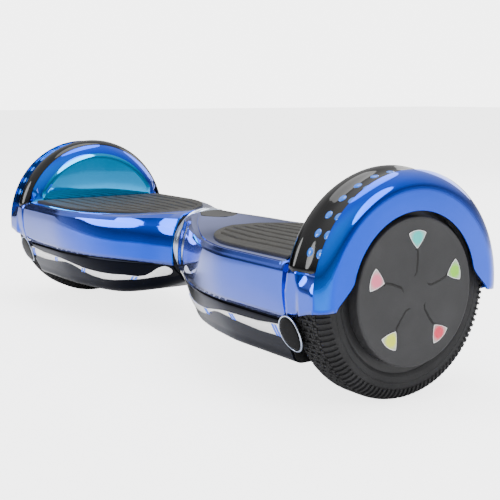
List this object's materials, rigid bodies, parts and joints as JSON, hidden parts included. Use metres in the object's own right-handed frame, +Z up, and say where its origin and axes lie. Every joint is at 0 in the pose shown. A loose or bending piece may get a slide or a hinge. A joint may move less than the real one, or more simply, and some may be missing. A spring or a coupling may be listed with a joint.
{
  "type": "self balancing hoverboard",
  "caption": "Two-wheeled self balancing board with two twisting foot decks, arched wheel fenders, ribbed foot mats, headlights and hub-motor wheels.",
  "frame": {"origin": "on the ground, under the middle of the board", "axes": "+X along the wheel axles, -Y to the front with the headlights, +Z up"},
  "size_m": [0.584, 0.1829, 0.1776],
  "materials": {
    "shell": "mirror-blue plated plastic",
    "shell_lower": "dark mirror-blue plated plastic",
    "bright_ring": "plated ring",
    "casting": "die cast",
    "steel": "zinc plated",
    "circuit": "fibreglass circuit board",
    "black_gloss": "polished black",
    "blue_light": "glowing blue",
    "clear_lens": "clear polycarbonate",
    "lamination": "stacked laminations",
    "copper": "enamelled copper",
    "magnet": "nickel plated",
    "tyre": "moulded rubber",
    "grey_cover": "fine textured",
    "wheel_window": "tinted translucent",
    "mat": "ribbed rubber",
    "bush": "acetal",
    "battery": "heat-shrink sleeve",
    "strap": "woven strap",
    "button": "plated",
    "socket": "moulded nylon",
    "cap": "soft moulded"
  },
  "bodies": {
    "left_half": {"left_upper_shell": "shell", "left_lower_shell": "shell_lower", "left_joint_ring": "bright_ring", "left_frame": "casting", "left_axle_clamp": "casting", "left_clamp_bolts": "steel", "left_shell_screws": "steel", "left_sensor_board": "circuit", "left_fender_trim": "black_gloss", "left_fender_lights": "blue_light", "left_headlight_lens": "clear_lens", "left_headlight_board": "circuit", "left_corner_guards": "black_gloss", "left_status_lens": "black_gloss", "left_axle": "steel", "left_stator": "lamination", "left_windings": "copper", "centre_tube": "steel", "tube_circlip": "steel", "main_board": "circuit"},
    "right_half": {"right_upper_shell": "shell", "right_lower_shell": "shell_lower", "right_joint_ring": "bright_ring", "right_frame": "casting", "right_axle_clamp": "casting", "right_clamp_bolts": "steel", "right_shell_screws": "steel", "right_sensor_board": "circuit", "right_fender_trim": "black_gloss", "right_fender_lights": "blue_light", "right_headlight_lens": "clear_lens", "right_headlight_board": "circuit", "right_corner_guards": "black_gloss", "right_status_lens": "black_gloss", "right_axle": "steel", "right_stator": "lamination", "right_windings": "copper", "centre_bushes": "bush", "battery_pack": "battery", "battery_strap": "strap", "charge_socket": "socket"},
    "left_wheel": {"left_tyre": "tyre", "left_rotor_can": "casting", "left_magnets": "magnet", "left_hub_cover": "grey_cover", "left_wheel_windows": "wheel_window", "left_motor_cover": "casting", "left_wheel_bearings": "steel"},
    "right_wheel": {"right_tyre": "tyre", "right_rotor_can": "casting", "right_magnets": "magnet", "right_hub_cover": "grey_cover", "right_wheel_windows": "wheel_window", "right_motor_cover": "casting", "right_wheel_bearings": "steel"},
    "left_mat": {"left_foot_mat": "mat"},
    "right_mat": {"right_foot_mat": "mat"},
    "button": {"power_button": "button"},
    "cap": {"charge_cap": "cap"}
  },
  "joints": [
    {"name": "centre_twist", "type": "hinge", "parent": "left_half", "child": "right_half", "pos_m": [0, 0, 0.085], "axis": [1, 0, 0], "range_deg": [-12, 12]},
    {"name": "left_wheel_spin", "type": "hinge", "parent": "left_half", "child": "left_wheel", "pos_m": [-0.264, 0, 0.085], "axis": [1, 0, 0], "continuous": true},
    {"name": "right_wheel_spin", "type": "hinge", "parent": "right_half", "child": "right_wheel", "pos_m": [0.264, 0, 0.085], "axis": [1, 0, 0], "continuous": true},
    {"name": "left_mat_press", "type": "slide", "parent": "left_half", "child": "left_mat", "axis": [0, 0, -1], "range_m": [0, 0.001], "stiffness_N_per_m": 3000, "springref_m": -0.0015},
    {"name": "right_mat_press", "type": "slide", "parent": "right_half", "child": "right_mat", "axis": [0, 0, -1], "range_m": [0, 0.001], "stiffness_N_per_m": 3000, "springref_m": -0.0015},
    {"name": "power_press", "type": "slide", "parent": "right_half", "child": "button", "axis": [0, -1, 0], "range_m": [0, 0.0015], "stiffness_N_per_m": 600, "springref_m": -0.001},
    {"name": "cap_hinge", "type": "hinge", "parent": "right_half", "child": "cap", "pos_m": [0.205, 0.0909, 0.1018], "axis": [1, 0, 0], "range_deg": [0, 110]}
  ]
}
